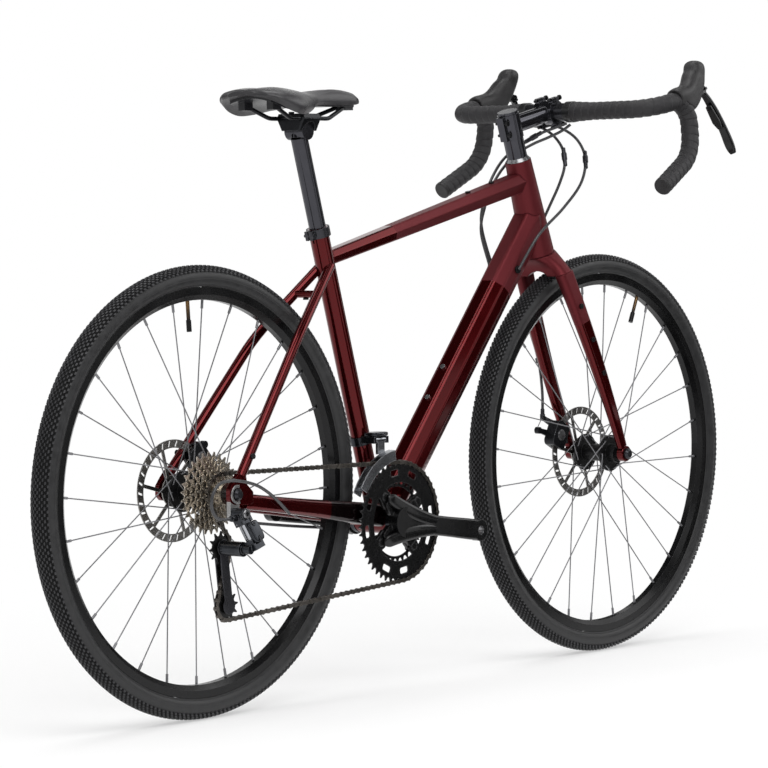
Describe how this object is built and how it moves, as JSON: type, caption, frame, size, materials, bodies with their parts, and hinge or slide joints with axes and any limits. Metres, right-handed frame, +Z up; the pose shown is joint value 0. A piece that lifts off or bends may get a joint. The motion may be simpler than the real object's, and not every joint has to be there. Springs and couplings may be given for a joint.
{
  "type": "gravel bike",
  "caption": "Gravel bike with a sloping metal frame, drop bar, disc brakes, knobby tyres and derailleur gears; steers, rolls, shifts and brakes.",
  "frame": {"origin": "on the ground, midway between the wheels in the bike's mid plane", "axes": "+X forward, +Y to the rider's left, +Z up"},
  "size_m": [1.7298, 0.5098, 1.0348],
  "materials": {
    "paint_matte": "matte",
    "paint_gloss": "gloss",
    "black_alloy": "satin black",
    "grey_alloy": "satin grey",
    "steel": "ground",
    "chain_steel": "brownish silver",
    "spoke_steel": "dark",
    "fastener": "dark",
    "tyre": "matte",
    "tape": "soft",
    "hood": "soft",
    "housing": "satin",
    "saddle_skin": "smooth",
    "saddle_shell": "matte"
  },
  "bodies": {
    "frame": {"head_tube": "paint_matte", "top_tube": "paint_gloss", "down_tube": "paint_gloss", "seat_tube": "paint_gloss", "bottom_bracket_shell": "paint_gloss", "rear_stays": "paint_gloss", "rear_dropouts": "paint_gloss", "seat_clamp": "black_alloy", "frame_bearings": "black_alloy", "frame_fittings": "fastener", "rear_caliper": "grey_alloy", "rear_axle": "fastener", "front_derailleur_clamp": "grey_alloy", "rear_derailleur_bracket": "grey_alloy", "rear_cables": "housing", "steering_cables": "housing", "chain": "chain_steel"},
    "fork": {"fork_crown": "paint_matte", "fork_blades": "paint_gloss", "headset_spacers": "black_alloy", "stem": "black_alloy", "stem_faceplate": "black_alloy", "handlebar": "black_alloy", "bar_tape": "tape", "brake_hoods": "hood", "front_caliper": "grey_alloy", "front_axle": "fastener", "front_brake_cable": "housing", "fork_bolts": "fastener"},
    "right_lever": {"brake_lever_right": "black_alloy"},
    "left_lever": {"brake_lever_left": "black_alloy"},
    "right_paddle": {"shift_lever_right": "black_alloy"},
    "left_paddle": {"shift_lever_left": "black_alloy"},
    "front_arm": {"front_brake_arm": "grey_alloy"},
    "rear_arm": {"rear_brake_arm": "grey_alloy"},
    "front_wheel": {"front_tyre": "tyre", "front_rim": "black_alloy", "front_spokes": "spoke_steel", "front_hub": "black_alloy", "front_rotor": "steel"},
    "rear_wheel": {"rear_tyre": "tyre", "rear_rim": "black_alloy", "rear_spokes": "spoke_steel", "rear_hub": "black_alloy", "rear_rotor": "steel"},
    "cassette": {"cassette": "chain_steel"},
    "crank": {"crank_arms": "black_alloy", "chainrings": "black_alloy"},
    "front_changer": {"front_derailleur_cage": "steel"},
    "outer_link": {"rear_derailleur_outer_link": "grey_alloy"},
    "inner_link": {"rear_derailleur_inner_link": "grey_alloy"},
    "lower_knuckle": {"rear_derailleur_knuckle": "grey_alloy"},
    "changer_cage": {"rear_derailleur_cage": "black_alloy"},
    "guide_wheel": {"guide_pulley": "housing"},
    "tension_wheel": {"tension_pulley": "housing"},
    "post": {"seatpost": "black_alloy"},
    "rail_clamp": {"saddle_clamp": "black_alloy"},
    "saddle": {"saddle_rails": "fastener", "saddle_base": "saddle_shell", "saddle_cover": "saddle_skin"}
  },
  "joints": [
    {"name": "steering", "type": "hinge", "parent": "frame", "child": "fork", "pos_m": [0.29241, 0, 0.866], "axis": [-0.3173, 0, 0.9483], "range_deg": [-60, 60], "deforming": ["steering_cables"]},
    {"name": "front_wheel_spin", "type": "hinge", "parent": "fork", "child": "front_wheel", "pos_m": [0.514, 0, 0.351], "axis": [0, 1, 0], "continuous": true},
    {"name": "rear_wheel_spin", "type": "hinge", "parent": "frame", "child": "rear_wheel", "pos_m": [-0.514, 0, 0.351], "axis": [0, 1, 0], "continuous": true},
    {"name": "crank_spin", "type": "hinge", "parent": "frame", "child": "crank", "pos_m": [-0.09059, 0, 0.276], "axis": [0, 1, 0], "continuous": true, "deforming": ["chain"]},
    {"name": "cassette_spin", "type": "hinge", "parent": "frame", "child": "cassette", "pos_m": [-0.514, 0, 0.351], "axis": [0, 1, 0], "continuous": true},
    {"name": "right_brake_pull", "type": "hinge", "parent": "fork", "child": "right_lever", "pos_m": [0.53913, -0.207, 0.9836], "axis": [0, 0.9659, -0.2588], "range_deg": [0, 25], "stiffness_Nm_per_rad": 0.8, "springref_deg": -17.19},
    {"name": "left_brake_pull", "type": "hinge", "parent": "fork", "child": "left_lever", "pos_m": [0.53913, 0.207, 0.9836], "axis": [0, 0.9659, 0.2588], "range_deg": [0, 25], "stiffness_Nm_per_rad": 0.8, "springref_deg": -17.19},
    {"name": "right_shift_swing", "type": "hinge", "parent": "right_lever", "child": "right_paddle", "pos_m": [0.5643, -0.21455, 0.95425], "axis": [0.9043, 0.1105, 0.4123], "range_deg": [0, 12], "stiffness_Nm_per_rad": 0.06, "springref_deg": -17.19},
    {"name": "left_shift_swing", "type": "hinge", "parent": "left_lever", "child": "left_paddle", "pos_m": [0.5643, 0.21455, 0.95425], "axis": [-0.9043, 0.1105, -0.4123], "range_deg": [0, 12], "stiffness_Nm_per_rad": 0.06, "springref_deg": -17.19},
    {"name": "front_arm_turn", "type": "hinge", "parent": "fork", "child": "front_arm", "pos_m": [0.44807, 0.0395, 0.3846], "axis": [0, 1, 0], "range_deg": [0, 13]},
    {"name": "rear_arm_turn", "type": "hinge", "parent": "frame", "child": "rear_arm", "pos_m": [-0.45815, 0.0557, 0.39955], "axis": [0, 1, 0], "range_deg": [0, 13]},
    {"name": "front_changer_swing", "type": "hinge", "parent": "frame", "child": "front_changer", "pos_m": [-0.12693, -0.036, 0.4114], "axis": [1, 0, 0], "range_deg": [0, 7.5], "deforming": ["chain"]},
    {"name": "rear_changer_shift", "type": "slide", "parent": "frame", "child": "lower_knuckle", "axis": [0, 0.9397, -0.342], "range_m": [-0.01022, 0.02554], "deforming": ["chain"]},
    {"name": "outer_link_turn", "type": "hinge", "parent": "frame", "child": "outer_link", "pos_m": [-0.51614, -0.09924, 0.31241], "axis": [0.9613, 0.0943, 0.259], "range_deg": [-18.22, 44.04]},
    {"name": "inner_link_turn", "type": "hinge", "parent": "frame", "child": "inner_link", "pos_m": [-0.51614, -0.08797, 0.3083], "axis": [0.9613, 0.0943, 0.259], "range_deg": [-18.22, 44.04]},
    {"name": "cage_swing", "type": "hinge", "parent": "lower_knuckle", "child": "changer_cage", "pos_m": [-0.517, 0, 0.268], "axis": [0, 1, 0], "range_deg": [-40, 8], "deforming": ["chain"]},
    {"name": "guide_wheel_spin", "type": "hinge", "parent": "changer_cage", "child": "guide_wheel", "pos_m": [-0.517, 0, 0.268], "axis": [0, 1, 0], "continuous": true},
    {"name": "tension_wheel_spin", "type": "hinge", "parent": "changer_cage", "child": "tension_wheel", "pos_m": [-0.50624, 0, 0.17764], "axis": [0, 1, 0], "continuous": true},
    {"name": "post_slide", "type": "slide", "parent": "frame", "child": "post", "axis": [-0.279, 0, 0.9603], "range_m": [-0.045, 0.09]},
    {"name": "saddle_tilt", "type": "hinge", "parent": "post", "child": "rail_clamp", "pos_m": [-0.27166, 0, 0.90923], "axis": [0, 1, 0], "range_deg": [-10, 10]},
    {"name": "saddle_slide", "type": "slide", "parent": "rail_clamp", "child": "saddle", "axis": [1, 0, 0], "range_m": [-0.015, 0.015]}
  ],
  "couplings": [
    {"joint": "cassette_spin", "follows": "crank_spin", "ratio": 3.2},
    {"joint": "tension_wheel_spin", "follows": "crank_spin", "ratio": 4.3636},
    {"joint": "guide_wheel_spin", "follows": "crank_spin", "ratio": -4.3636},
    {"joint": "front_arm_turn", "follows": "left_brake_pull", "ratio": 0.5},
    {"joint": "rear_arm_turn", "follows": "right_brake_pull", "ratio": 0.5},
    {"joint": "outer_link_turn", "follows": "rear_changer_shift", "rad_per_m": 29.412},
    {"joint": "inner_link_turn", "follows": "rear_changer_shift", "rad_per_m": 29.412}
  ]
}
